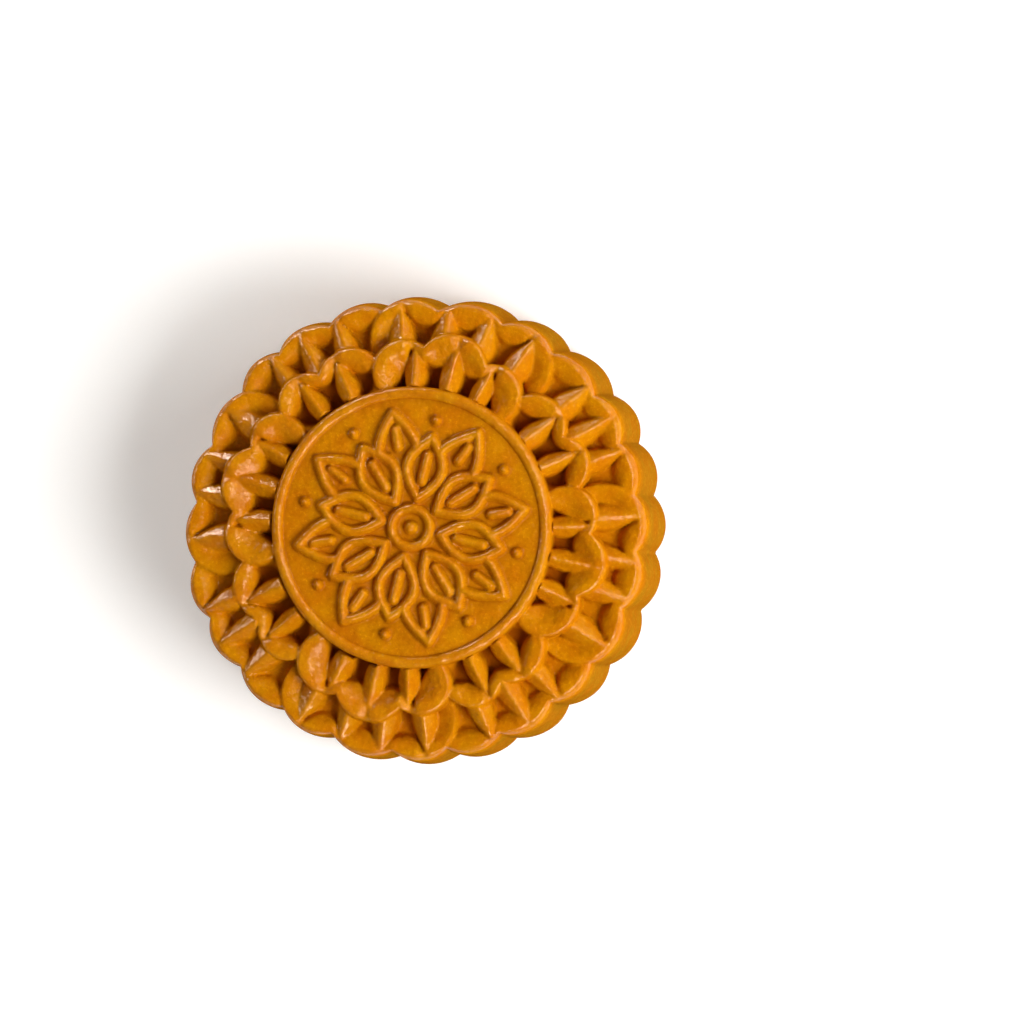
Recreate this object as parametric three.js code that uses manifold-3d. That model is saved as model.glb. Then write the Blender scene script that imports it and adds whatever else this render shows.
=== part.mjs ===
// A whole baked mooncake, pressed in a round carved mould: a low drum of golden dough that lies flat on
// its base. Millimetres, +Z up, with the origin at the middle of the base.
//
// The top is one relief. In the middle is a round field with a raised bead along its edge and a lotus
// medallion on it. Two rings of petals step down around it like terraces. Each ring has petals with
// round ends, sharp spikes that run out from the ring's inner wall, and pits between the spikes. The
// pattern comes four times round the cake and is mirrored within each quarter: a wide fan of petals,
// whose two side petals sweep back to the inner wall as curved blades, lies over the edge of a narrow
// fan. Below the rings the side is fluted like the outer petals.
import * as THREE from "three";
import Module from "manifold-3d";

// Driving sizes. Radii are from the cake's axis and heights from its base.
const FIELD_RADIUS = 20.9;
const FIELD_TOP = 32.35;
const BEAD_WIDTH = 1.9;
const BEAD_RISE = 0.65;
const DISC_RADIUS = FIELD_RADIUS + BEAD_WIDTH;
const DISC_FLARE = 0.15; // how far the foot of the disc's wall stands out past its top
const WALL_TOP = 27.0; // the outer petals' rounded edge ends here, and the fluted side begins
const WALL_SWELL = 1.66; // how far the side swells out past that edge
const SWELL_LEVEL = 4.5; // the height of the fullest part of the side
const BASE_ROUND = 1.2;
const BASE_TUCK = 1.3;

// The two rings. Angles are in degrees from the middle of a wide fan, and 45 is the middle of a narrow
// one. A petal's round end is an arc of a circle, whose centre is at a given angle and radius and whose
// own radius is "round". The pillows of the petals are lens shapes, cut off on their inner side by the
// circles in the lists of pads. The rounded edge starts "rimFrom" in from the outline, is "rim" wide and
// falls by "rimDrop". It gets wider by "soften" for each millimetre by which the outline stands out past
// the notches. Inward from it a pillow slopes by "fall", and sinks by "sink" on a curve between the
// depths "sinkFrom" and "sinkTo". It ends in a steep bank. Spikes run from "root" to a tip, and their
// flanks fall by "flank" for each millimetre across.
const INNER = {
  crown: 31.7,
  floor: 27.8,
  rim: 0.7,
  soften: 0,
  rimFrom: 0.3,
  rimDrop: 0.7,
  fall: 0.08,
  sink: 1.45,
  sinkFrom: 0.8,
  sinkTo: 3.6,
  bank: 0.6,
  band: 2.0,
  middle: { angle: 0, centre: 26.5, round: 6.0 },
  side: { angle: 17.1, centre: 25.3, round: 5.4 },
  narrow: [{ angle: 36.3, centre: 25.8, round: 5.5 }],
  widePads: [
    { angle: 6.3, centre: 29.8, round: 3.6 },
    { angle: 36.6, centre: 32.6, round: 12.3 },
  ],
  narrowPads: [
    { angle: 29.5, centre: 31.1, round: 5.0 },
    { angle: 45, centre: 30.1, round: 3.2 },
  ],
  root: DISC_RADIUS,
  rootLevel: 32.4,
  tipLevel: 31.4,
  spikeWidth: 3.7,
  flank: 1.15,
  spikes: [
    { angle: 0, tip: 31.6 },
    { angle: 90 / 7, tip: 29.8 },
    { angle: 270 / 7, tip: 29.9 },
  ],
  twist: [
    [-0.6, 0, 1.57],
    [0.95, 1, 1.3],
    [0.26, 2, 2.4],
    [0.62, 3, 1.4],
    [0.5, 5, 2.0],
    [0.3, 9, 4.1],
  ],
  reach: [[0.3, 1, 4.3], [0.14, 3, 1.0], [0.12, 7, 2.2]],
  lift: [[0.12, 2, 2.9], [0.08, 9, 0.7]],
};
const OUTER = {
  crown: 29.2,
  floor: 26.5,
  rim: 0.4,
  soften: 0.45,
  rimFrom: 0,
  rimDrop: 2.2,
  fall: 0.2,
  sink: 1.3,
  sinkFrom: 1.0,
  sinkTo: 3.6,
  bank: 0.7,
  band: 2.2,
  middle: { angle: 0, centre: 30.9, round: 6.9 },
  side: { angle: 15.3, centre: 30.8, round: 6.9 },
  narrow: [
    { angle: 30, centre: 30.9, round: 6.9 },
    { angle: 45, centre: 31.0, round: 6.9 },
  ],
  widePads: [
    { angle: 0, centre: 36.6, round: 3.3 },
    { angle: 10.7, centre: 36.6, round: 3.3 },
    { angle: 34.5, centre: 38.6, round: 12.0 },
  ],
  narrowPads: [
    { angle: 28.3, centre: 37.5, round: 4.1 },
    { angle: 40, centre: 36.6, round: 3.3 },
  ],
  root: 28.3,
  rootLevel: 31.6,
  tipLevel: 28.9,
  spikeWidth: 5.2,
  flank: 0.95,
  spikes: [
    { angle: 5, tip: 37.0 },
    { angle: 17, tip: 36.8 },
    { angle: 35, tip: 36.9 },
    { angle: 45, tip: 37.0 },
  ],
  twist: [
    [-0.96, 0, 1.57],
    [0.57, 1, 3.56],
    [0.22, 2, 2.55],
    [0.55, 3, 1.6],
    [0.55, 4, 0.5],
    [0.35, 10, 2.6],
  ],
  reach: [[0.25, 1, 3.1], [0.2, 2, 0.3], [0.16, 5, 1.9], [0.1, 11, 5.0]],
  lift: [[0.15, 1, 4.4], [0.1, 7, 1.1]],
};
const REPEAT = 90; // the pattern comes again after this many degrees
const NOTCH = 36.2; // the radius of the notches between the outer petals
const DRAFT = 0.3; // a petal's steep flank takes up this much of the radius
const BAND_PITCH = 0.5; // the pits get shallower towards the rim, within "band" of it
const NARROW_DROP = 0.4; // the narrow fans lie this much lower than the wide ones
const SPIKE_START = 0.45; // where along a half wave the outline of a spike begins
const SPIKE_BANK = 0.6; // the width of the steep bank at a spike's outline

// The medallion: a seed in a ring, eight pointed petals, the tips of eight more between them, and eight
// pearls. Each petal has a vein. "half" is half a petal's width, and "hidden" is how many of its points
// lie behind others.
const MEDALLION = {
  petals: 8,
  front: { from: 4.9, to: 14.9, half: 2.9, hidden: 0, vein: [7.6, 12.0] },
  back: { from: 6.6, to: 18.6, half: 3.15, hidden: 2, vein: [13.2, 16.0] },
  ring: 3.1,
  seed: 1.25,
  pearl: { at: 17.7, radius: 0.95 },
  half: 0.95, // half the width of a stroke at its foot
  rise: 1.3,
};
const STROKE_ROOT = 0.3; // how deep a stroke starts below the field
const STROKE_SEGMENTS = 4;
const RING_SEGMENTS = 16;
const BOSS_SIDES = 8;
const BOSS_SHOULDER = { share: 0.7, rise: 0.75 };

// Divisions round the cake. The petal rings have a point on each spike's crest, the outer one by a shift
// of half a division. The shares say where the loops lie: over the bead's round, from a ring's inner
// wall to its rim, round the rim's edge, and down the side.
const BEAD_POINTS = 84;
const INNER_POINTS = 168;
const OUTER_POINTS = 180;
const WALL_POINTS = 140;
const OUTER_SHIFT = 0.5;
const BEAD_CREST = 0.5;
const BEAD_TURNS = [BEAD_CREST, 0.8, 1];
const BEAD_FOOT_DROP = 0.6; // the bead's outer foot lies this much below its inner one
const INNER_SHARES = [0, 0.16, 0.32, 0.44, 0.54, 0.64, 0.76, 0.88, 1];
const OUTER_SHARES = [0, 0.12, 0.27, 0.4, 0.51, 0.62, 0.74, 0.87, 1];
const RIM_TURNS = [0.55, 0.15];
const SIDE_SHARES = [1, 0.55, 0];
const SAME_ANGLE = 1e-6; // points closer than this in angle count as even

const CRUST = { color: 0xbd7010, roughness: 0.42, metalness: 0 };

const QUARTER_ROUND = Math.PI / 2;
const FULL_CIRCLE = 360;
const HALF_CIRCLE = FULL_CIRCLE / 2;
const radians = THREE.MathUtils.degToRad;
const { clamp, lerp, smoothstep } = THREE.MathUtils;

// A quarter of a circle: from 0, where it rises straight up, to 1, where it is level.
const quarterRound = (share) => Math.sqrt(1 - (1 - clamp(share, 0, 1)) ** 2);

// The angle from the middle of the nearest wide fan, 0 to 45 degrees.
const folded = (angle) =>
  Math.abs(THREE.MathUtils.euclideanModulo(angle + REPEAT / 2, REPEAT) - REPEAT / 2);

// Unevenness: a sum of waves round the cake, each with a size, a count and a phase.
const waves = (list, angle) =>
  list.reduce((sum, [size, count, phase]) => sum + size * Math.sin(count * radians(angle) + phase), 0);

// A ring's pattern is twisted a little on the cake. These give the cake's angle for one of the pattern,
// and back.
const twisted = (ring, angle) => angle + waves(ring.twist, angle);

function untwisted(ring, angle) {
  const guess = angle - waves(ring.twist, angle);
  return angle - waves(ring.twist, guess);
}

// The radius of a circle's far side at an angle, or 0 where the line from the axis misses it.
function farSide(circle, angle) {
  const turn = radians(angle - circle.angle);
  const inside = circle.round ** 2 - (circle.centre * Math.sin(turn)) ** 2;
  return inside > 0 ? circle.centre * Math.cos(turn) + Math.sqrt(inside) : 0;
}

// How far a point lies inside a circle.
function depthIn(circle, radius, angle) {
  const turn = radians(angle - circle.angle);
  const square = radius ** 2 + circle.centre ** 2 - 2 * radius * circle.centre * Math.cos(turn);
  return circle.round - Math.sqrt(square);
}

// The outermost of some circles at an angle.
const outline = (circles, angle) => Math.max(...circles.map((circle) => farSide(circle, angle)));

const wideCircles = (ring) => [ring.middle, ring.side];
const allCircles = (ring) => [ring.middle, ring.side, ...ring.narrow];

// Depth inside the edge of a wide fan: along the radius on its petals, and across the curve on its blades.
function wideDepth(ring, radius, angle) {
  if (angle > ring.side.angle) return depthIn(ring.side, radius, angle);
  return outline(wideCircles(ring), angle) - radius;
}

function narrowDepth(ring, radius, angle) {
  if (angle < ring.narrow[0].angle) return depthIn(ring.narrow[0], radius, angle);
  return outline(ring.narrow, angle) - radius;
}

// The width of the rounded edge of some petals.
const rimWidth = (ring, circles, angle) =>
  ring.rim + ring.soften * Math.max(outline(circles, angle) - NOTCH, 0);

// The level of a fan inside its edge: pillows that sink inward, then a bank down to the pits.
function fanLevel(ring, depth, width, pads, radius, angle) {
  const inside = Math.max(...pads.map((pad) => depthIn(pad, radius, angle)));
  const inward = Math.max(depth - ring.rimFrom - width, 0);
  const sunk = ring.fall * inward + ring.sink * smoothstep(inward, ring.sinkFrom, ring.sinkTo);
  const cover = Math.max(inside, (ring.band - depth) * BAND_PITCH);
  return lerp(ring.floor, ring.crown - sunk, smoothstep(cover, -ring.bank, ring.bank));
}

// Up a steep flank from what is below, then over a rounded edge to the level.
function overEdge(ring, depth, width, below, level) {
  const shoulder = level - ring.rimDrop * (1 - quarterRound((depth - ring.rimFrom) / width));
  const top = Math.max(shoulder, Math.min(below, level));
  return lerp(below, top, clamp(depth / DRAFT, 0, 1));
}

// Spikes lie over all else in their ring, with straight flanks down from a sharp crest.
function withSpikes(ring, radius, angle, below) {
  let level = below;
  for (const spike of ring.spikes) {
    const along = (radius - ring.root) / (spike.tip - ring.root);
    const wave = Math.sin(Math.PI * lerp(SPIKE_START, 1, clamp(along, 0, 1)));
    const half = (ring.spikeWidth / 2) * wave;
    const across = radius * Math.sin(radians(Math.abs(angle - spike.angle)));
    const roof = lerp(ring.rootLevel, ring.tipLevel, along) - ring.flank * across;
    const share = clamp((half - across) / SPIKE_BANK, 0, 1);
    if (along >= 0) level = Math.max(level, lerp(level, roof, share));
  }
  return level;
}

// One ring laid over what is below it: the narrow fan, the wide fan over its edge, then the spikes.
function ringLevel(ring, radius, angle, below) {
  const place = radius - waves(ring.reach, angle);
  const turn = folded(untwisted(ring, angle));
  const lift = waves(ring.lift, angle);
  const narrow = narrowDepth(ring, place, turn);
  const wide = wideDepth(ring, place, turn);
  const narrowRim = rimWidth(ring, ring.narrow, turn);
  const wideRim = rimWidth(ring, wideCircles(ring), turn);
  const narrowTop = fanLevel(ring, narrow, narrowRim, ring.narrowPads, place, turn) - NARROW_DROP + lift;
  const wideTop = fanLevel(ring, wide, wideRim, ring.widePads, place, turn) + lift;
  const beside = turn > ring.side.angle;
  const first = beside ? overEdge(ring, narrow, narrowRim, below, narrowTop) : below;
  const second = overEdge(ring, wide, wideRim, first, wideTop);
  return withSpikes(ring, place, turn, second - lift) + lift;
}

// The top of the cake outside the disc.
const topLevel = (radius, angle) =>
  ringLevel(INNER, radius, angle, ringLevel(OUTER, radius, angle, WALL_TOP));

// The radius of a ring's outline at an angle on the cake.
const edgeRadius = (ring, angle) =>
  outline(allCircles(ring), folded(untwisted(ring, angle))) + waves(ring.reach, angle);

// The side at a height: the outer outline, swelling towards the base and tucked in under a small round.
function wallRadius(angle, height) {
  const share = (height - SWELL_LEVEL) / (WALL_TOP - SWELL_LEVEL);
  const tuck = BASE_TUCK * (1 - quarterRound(height / BASE_ROUND));
  return edgeRadius(OUTER, angle) + WALL_SWELL * (1 - Math.max(share, 0) ** 2) - tuck;
}

// A closed loop of points round the axis. Each point keeps its angle, so that two loops can be joined.
function loop(angles, radiusAt, heightAt) {
  return angles.map((angle) => {
    const radius = radiusAt(angle);
    const turn = radians(angle);
    return { angle, place: [radius * Math.cos(turn), radius * Math.sin(turn), heightAt(radius, angle)] };
  });
}

const spread = (count, first = 0) =>
  Array.from({ length: count }, (_, i) => (FULL_CIRCLE * (i + first)) / count);

// The bead along the edge of the field: half a round, with its outer foot lower than its inner one.
function beadLoop(angles, share) {
  const turn = Math.PI * share;
  const fallen = share > BEAD_CREST ? BEAD_FOOT_DROP * (1 - Math.sin(turn)) : 0;
  const radius = FIELD_RADIUS + (BEAD_WIDTH / 2) * (1 - Math.cos(turn));
  return loop(angles, () => radius, () => FIELD_TOP + BEAD_RISE * Math.sin(turn) - fallen);
}

// The loops of a ring, from its inner wall out to its rim and round the edge.
function tierLoops(ring, angles, startAt, shares) {
  const widthAt = (angle) => rimWidth(ring, allCircles(ring), folded(untwisted(ring, angle)));
  const edgeAt = (angle) => edgeRadius(ring, angle) - ring.rimFrom;
  const crestAt = (angle) => edgeAt(angle) - widthAt(angle);
  const tops = shares.map((share) => (angle) => lerp(startAt(angle), crestAt(angle), share));
  const rims = RIM_TURNS.map((share) => (angle) =>
    edgeAt(angle) - widthAt(angle) * (1 - Math.cos(QUARTER_ROUND * share)));
  return [...tops, ...rims].map((radiusAt) => loop(angles, radiusAt, topLevel));
}

// All loops of the cake, from the edge of the field out over the top, down the side and in under the base.
function cakeLoops() {
  const beadAngles = spread(BEAD_POINTS);
  const innerAngles = spread(INNER_POINTS).map((angle) => twisted(INNER, angle));
  const outerAngles = spread(OUTER_POINTS, OUTER_SHIFT).map((angle) => twisted(OUTER, angle));
  const wallAngles = spread(WALL_POINTS).map((angle) => twisted(OUTER, angle));
  const wallAt = (height) => loop(wallAngles, (angle) => wallRadius(angle, height), () => height);
  return [
    loop(beadAngles, () => FIELD_RADIUS, () => FIELD_TOP),
    ...BEAD_TURNS.map((share) => beadLoop(beadAngles, share)),
    ...tierLoops(INNER, innerAngles, () => DISC_RADIUS + DISC_FLARE, INNER_SHARES),
    ...tierLoops(OUTER, outerAngles, (angle) => edgeRadius(INNER, angle), OUTER_SHARES),
    ...SIDE_SHARES.map((share) => wallAt(lerp(SWELL_LEVEL, WALL_TOP, share))),
    wallAt(BASE_ROUND),
    wallAt(0),
  ];
}

const gap = (one, other) => Math.hypot(...one.place.map((value, axis) => value - other.place[axis]));

// Joins two loops with triangles, stepping on along the one that lags, so their counts may differ. Where
// they are even, the shorter diagonal is taken, because it follows the relief.
function joinLoops(first, second, faces) {
  let i = 0;
  let j = 0;
  while (i < first.length || j < second.length) {
    const a = first[i % first.length];
    const b = second[j % second.length];
    const nextFirst = first[(i + 1) % first.length];
    const nextSecond = second[(j + 1) % second.length];
    const firstAngle = nextFirst.angle + (i + 1 >= first.length ? FULL_CIRCLE : 0);
    const secondAngle = nextSecond.angle + (j + 1 >= second.length ? FULL_CIRCLE : 0);
    const even = Math.abs(firstAngle - secondAngle) < SAME_ANGLE;
    const ahead = even ? gap(b, nextFirst) < gap(a, nextSecond) : firstAngle < secondAngle;
    if (j >= second.length || (i < first.length && ahead)) {
      faces.push(a, b, nextFirst);
      i += 1;
    } else {
      faces.push(a, b, nextSecond);
      j += 1;
    }
  }
}

// Joins a point to every side of a loop.
function fan(place, points, faces) {
  const middle = { place };
  points.forEach((point, i) => faces.push(middle, point, points[(i + 1) % points.length]));
}

// A solid from triangles given as corner points.
function solidOf(wasm, corners) {
  const index = new Map();
  const places = [];
  const triVerts = corners.map((corner) => {
    if (!index.has(corner)) {
      index.set(corner, index.size);
      places.push(...corner.place);
    }
    return index.get(corner);
  });
  const vertProperties = new Float32Array(places);
  const mesh = new wasm.Mesh({ numProp: 3, vertProperties, triVerts: new Uint32Array(triVerts) });
  return new wasm.Manifold(mesh);
}

function drum(wasm) {
  const loops = cakeLoops();
  const faces = [];
  fan([0, 0, FIELD_TOP], loops[0], faces);
  loops.slice(1).forEach((next, i) => joinLoops(loops[i], next, faces));
  fan([0, 0, 0], loops.at(-1).toReversed(), faces);
  return solidOf(wasm, faces);
}

// A raised stroke along a path on the field, with sloping flanks. A path may be closed.
function stroke(wasm, path, closed = false) {
  const { half, rise } = MEDALLION;
  const section = [[-half, -STROKE_ROOT], [half, -STROKE_ROOT], [0, rise]];
  const rows = path.map((point, i) => {
    const before = path[closed ? (i + path.length - 1) % path.length : Math.max(i - 1, 0)];
    const after = path[closed ? (i + 1) % path.length : Math.min(i + 1, path.length - 1)];
    const along = after.clone().sub(before).normalize();
    return section.map(([side, up]) => ({
      place: [point.x - along.y * side, point.y + along.x * side, FIELD_TOP + up],
    }));
  });
  const faces = [];
  const spans = closed ? rows.length : rows.length - 1;
  for (let i = 0; i < spans; i += 1) {
    const [row, next] = [rows[i], rows[(i + 1) % rows.length]];
    section.forEach((_, k) => {
      const m = (k + 1) % section.length;
      faces.push(row[k], row[m], next[m], row[k], next[m], next[k]);
    });
  }
  if (!closed) {
    const [start, end] = [rows[0], rows.at(-1)];
    faces.push(start[0], start[2], start[1], end[0], end[1], end[2]);
  }
  return solidOf(wasm, faces);
}

// A seed or a pearl: a low round boss with a rounded edge.
function boss(wasm, radius) {
  const foot = FIELD_TOP - STROKE_ROOT;
  const shoulder = FIELD_TOP + MEDALLION.rise * BOSS_SHOULDER.rise;
  const rows = [
    loop(spread(BOSS_SIDES), () => radius * BOSS_SHOULDER.share, () => shoulder),
    loop(spread(BOSS_SIDES), () => radius, () => foot),
  ];
  const faces = [];
  fan([0, 0, FIELD_TOP + MEDALLION.rise], rows[0], faces);
  joinLoops(rows[0], rows[1], faces);
  fan([0, 0, foot], rows[1].toReversed(), faces);
  return solidOf(wasm, faces);
}

// One side of a pointed petal that lies along +X: from its base out to its tip, bellied in between.
function petalSide(petal, side) {
  const points = Array.from({ length: STROKE_SEGMENTS + 1 }, (_, i) => {
    const share = i / STROKE_SEGMENTS;
    const bow = Math.sin(Math.PI * share);
    return new THREE.Vector2(lerp(petal.from, petal.to, share), side * petal.half * bow);
  });
  return points.slice(petal.hidden);
}

// The strokes of one petal.
const petalStrokes = (wasm, petal) => [
  stroke(wasm, petalSide(petal, -1)),
  stroke(wasm, petalSide(petal, 1)),
  stroke(wasm, petal.vein.map((at) => new THREE.Vector2(at, 0))),
];

function medallion(wasm) {
  const { petals, front, back, ring, seed, pearl } = MEDALLION;
  const circle = spread(RING_SEGMENTS).map((angle) =>
    new THREE.Vector2(ring * Math.cos(radians(angle)), ring * Math.sin(radians(angle))));
  const around = [...petalStrokes(wasm, front), boss(wasm, pearl.radius).translate([pearl.at, 0, 0])];
  const between = petalStrokes(wasm, back);
  const strokes = [stroke(wasm, circle, true), boss(wasm, seed)];
  for (const turn of spread(petals)) {
    strokes.push(...around.map((solid) => solid.rotate([0, 0, turn])));
    strokes.push(...between.map((solid) => solid.rotate([0, 0, turn + HALF_CIRCLE / petals])));
  }
  return wasm.Manifold.union(strokes);
}

// A geometry with its box centred over the origin.
function geometryOf(solid) {
  const mesh = solid.getMesh();
  const geometry = new THREE.BufferGeometry();
  geometry.setAttribute("position", new THREE.BufferAttribute(mesh.vertProperties, mesh.numProp));
  geometry.setIndex(new THREE.BufferAttribute(mesh.triVerts, 1));
  geometry.computeBoundingBox();
  const middle = geometry.boundingBox.getCenter(new THREE.Vector3());
  geometry.translate(-middle.x, -middle.y, 0);
  geometry.computeVertexNormals();
  return geometry;
}

const wasm = await Module();
wasm.setup();

const solid = drum(wasm).add(medallion(wasm));
const cake = new THREE.Mesh(geometryOf(solid), new THREE.MeshStandardMaterial(CRUST));
cake.name = "mooncake";

const group = new THREE.Group();
group.add(cake);

export default group;
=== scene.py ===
# %% [markdown]
# # A baked mooncake
#
# This lesson models one whole mooncake: a low drum of golden dough, pressed in a carved wooden mould and baked with
# a wash of egg. The CAD model already has the cake at its real size, with every petal and spike in its place, as a
# solid of flat facets. Here the same form is worked out again as a fine surface, and it gets its crust.

import math

import bpy
import numpy as np
from mathutils import Matrix, Vector


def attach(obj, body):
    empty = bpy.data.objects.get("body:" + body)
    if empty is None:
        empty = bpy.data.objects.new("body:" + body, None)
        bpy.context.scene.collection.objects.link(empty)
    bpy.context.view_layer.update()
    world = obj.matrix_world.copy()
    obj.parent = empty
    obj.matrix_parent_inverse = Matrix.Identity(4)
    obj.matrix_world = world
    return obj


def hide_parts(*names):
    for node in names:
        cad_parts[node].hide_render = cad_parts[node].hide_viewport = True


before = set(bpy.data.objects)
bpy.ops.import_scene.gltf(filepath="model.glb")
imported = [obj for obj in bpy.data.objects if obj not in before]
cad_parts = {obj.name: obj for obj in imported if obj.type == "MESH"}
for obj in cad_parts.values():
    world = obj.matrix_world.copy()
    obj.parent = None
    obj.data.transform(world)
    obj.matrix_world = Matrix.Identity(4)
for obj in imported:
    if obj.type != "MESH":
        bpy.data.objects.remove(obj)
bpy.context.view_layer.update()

# %% [markdown]
# ## Sizes
#
# The pattern is drawn in millimetres and in degrees, as a mould carver would do it, and only the finished points are
# turned into metres. Radii are from the cake's axis, and heights from its base. They are the values of the CAD model,
# so the fine surface lies where the faceted one lies.

# %% Sizes of the drum
MM = 0.001
FIELD_RADIUS = 20.9
FIELD_TOP = 32.35
BEAD_WIDTH = 1.9
BEAD_RISE = 0.65
BEAD_FOOT_DROP = 0.6
DISC_RADIUS = FIELD_RADIUS + BEAD_WIDTH
DISC_FLARE = 0.15
WALL_TOP = 27.0
WALL_SWELL = 1.6
SWELL_LEVEL = 4.5
BASE_ROUND = 1.2
BASE_TUCK = 1.3
print("the disc is", 2 * DISC_RADIUS, "mm wide and the cake stands", FIELD_TOP + BEAD_RISE, "mm high at its bead")

# %% [markdown]
# ## The carver's plan of a petal ring
#
# Each ring of petals is drawn with arcs. The pattern comes four times round the cake and is mirrored in each quarter,
# so a plan needs only the angles from 0, the middle of a wide fan, to 45 degrees, the middle of a narrow one.
# An arc is written as the angle of its centre, the radius of its centre, and its own radius. The pads are larger arcs
# that show where a petal's pillow ends and its pit begins. A spike is the angle of its crest and the radius of its
# tip.
#
# The other numbers are heights and widths. Crown and floor are the levels of the petals and the pits, and drop is how
# much lower the narrow fan lies. The rim values shape a petal's rounded edge. Fall, sink and sag lower a pillow from
# its edge inward, and reach_in is how far the sag reaches. Bank and band belong to the drop into the pit. Root, levels,
# width and flank shape the spikes. Dough comes out of a mould a little out of true, so each ring is twisted, stretched
# and lifted by a few slow waves, each with a size, a count round the cake and a phase.

# %% Plans of the two rings
INNER = dict(
    crown=31.7, floor=27.8, rim=0.7, soften=0.0, rim_from=0.3, rim_drop=0.7,
    fall=0.08, sink=0.9, sink_from=0.8, sink_to=3.6, sag=0.75, reach_in=1.7, bank=0.35, band=2.0, drop=0.4,
    middle=(0.0, 26.5, 6.0), side=(17.1, 25.3, 5.4), narrow=[(36.3, 25.8, 5.5)],
    wide_pads=[(6.3, 29.8, 3.6), (36.6, 32.6, 12.3)],
    narrow_pads=[(29.5, 31.1, 5.0), (45.0, 30.1, 3.2)],
    root=DISC_RADIUS, root_level=32.4, tip_level=30.8, spike_width=4.1, flank=1.15,
    spikes=[(0.0, 31.6), (90 / 7, 29.8), (270 / 7, 29.9)],
    twist=[(-0.6, 0, 1.57), (0.95, 1, 1.3), (0.26, 2, 2.4), (0.62, 3, 1.4), (0.5, 5, 2.0), (0.3, 9, 4.1)],
    reach=[(0.3, 1, 4.3), (0.14, 3, 1.0), (0.12, 7, 2.2)],
    lift=[(0.12, 2, 2.9), (0.08, 9, 0.7)],
)
OUTER = dict(
    crown=29.2, floor=26.7, rim=0.6, soften=0.4, rim_from=0.0, rim_drop=2.2,
    fall=0.12, sink=0.7, sink_from=0.7, sink_to=3.4, sag=0.45, reach_in=1.3, bank=0.4, band=2.2, drop=0.4,
    middle=(0.0, 30.9, 6.9), side=(15.3, 30.8, 6.9), narrow=[(30.0, 30.9, 6.9), (45.0, 31.0, 6.9)],
    wide_pads=[(0.0, 36.6, 3.3), (10.7, 36.6, 3.3), (34.5, 38.6, 12.0)],
    narrow_pads=[(28.3, 37.5, 4.1), (40.0, 36.6, 3.3)],
    root=28.3, root_level=31.6, tip_level=28.9, spike_width=4.7, flank=0.92,
    spikes=[(5.0, 37.0), (17.0, 36.8), (35.0, 36.9), (45.0, 37.0)],
    twist=[(-0.96, 0, 1.57), (0.57, 1, 3.56), (0.22, 2, 2.55), (0.55, 3, 1.6), (0.55, 4, 0.5), (0.35, 10, 2.6)],
    reach=[(0.25, 1, 3.1), (0.2, 2, 0.3), (0.16, 5, 1.9), (0.1, 11, 5.0)],
    lift=[(0.15, 1, 4.4), (0.1, 7, 1.1)],
)
REPEATS = 4
print("a pattern of", 360 // REPEATS, "degrees, with", len(INNER["spikes"]), "and", len(OUTER["spikes"]),
      "kinds of spikes")


# %% [markdown]
# ## From plan to height
#
# A relief like this could be sculpted, or made with a displacement texture. Here it is a formula: a height for every
# radius and angle. That gives clean edges at any fineness, and the CAD model can use the same formula on a coarse
# mesh. A few small curves do most of the work.

# %% Curves
def smooth(value, low, high):
    """0 below low and 1 above high, with the curve 3t² − 2t³ in between."""
    t = np.clip((value - low) / (high - low), 0, 1)
    return t * t * (3 - 2 * t)


def blend(low, high, share):
    """A straight mix of low and high: low + (high − low) × share."""
    return low + (high - low) * share


def quarter_round(share):
    """A quarter of a circle: √(1 − (1 − share)²), 0 and upright at 0, 1 and level at 1."""
    return np.sqrt(1 - (1 - np.clip(share, 0, 1)) ** 2)


def waves(terms, angle):
    """The sum of size × sin(count × angle + phase)."""
    return sum(size * np.sin(count * np.radians(angle) + phase) for size, count, phase in terms)


print("a quarter round is", quarter_round(0.5).round(3), "high half way in")


# %% [markdown]
# ## Folding the circle
#
# Every place on the cake is brought back to the one eighth of the circle that the plan describes: first the twist of
# the dough is taken off, then the angle is folded like paper at the middle of each fan.

# %% Angles of the pattern
def folded(angle):
    """The angle from the middle of the nearest wide fan, from 0 to 45 degrees."""
    quarter = 360 / REPEATS
    return np.abs((angle + quarter / 2) % quarter - quarter / 2)


def twisted(ring, angle):
    """The cake's angle at an angle of the pattern."""
    return angle + waves(ring["twist"], angle)


def untwisted(ring, angle):
    """The pattern's angle at an angle of the cake: the twist taken off, with one correction."""
    guess = angle - waves(ring["twist"], angle)
    return angle - waves(ring["twist"], guess)


print("100 degrees round the cake is", round(float(folded(untwisted(OUTER, 100.0))), 2), "degrees on the plan")


# %% [markdown]
# ## Measuring with arcs
#
# A mould carver swings a compass for each petal. Two measures of such an arc are enough: where a line from the axis
# crosses it, and how deep a point lies inside it.

# %% Arcs
def far_side(arc, angle):
    """Where a line from the axis leaves a circle: centre × cos t + √(radius² − (centre × sin t)²), or 0."""
    middle, centre, radius = arc
    turn = np.radians(angle - middle)
    inside = radius**2 - (centre * np.sin(turn)) ** 2
    return np.where(inside > 0, centre * np.cos(turn) + np.sqrt(np.maximum(inside, 0)), 0)


def depth_in(arc, radius, angle):
    """How far a point is inside a circle: its radius less the distance from its centre."""
    middle, centre, arc_radius = arc
    turn = np.radians(angle - middle)
    return arc_radius - np.sqrt(radius**2 + centre**2 - 2 * radius * centre * np.cos(turn))


def outline(arcs, angle):
    """The outermost of some arcs."""
    return np.max([far_side(arc, angle) for arc in arcs], axis=0)


print("the outer ring reaches", round(float(outline([OUTER["middle"]], 0.0)), 1), "mm in the middle of a fan")

# %% [markdown]
# ## How deep in a petal
#
# The shape of a petal follows from how far a point lies inside its edge. On the petals this is measured along the
# radius. On the blade of the wide fan, the part that curves back toward the middle, it is measured across the curve.

# %% Depth in a fan
NOTCH = 36.2


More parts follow.
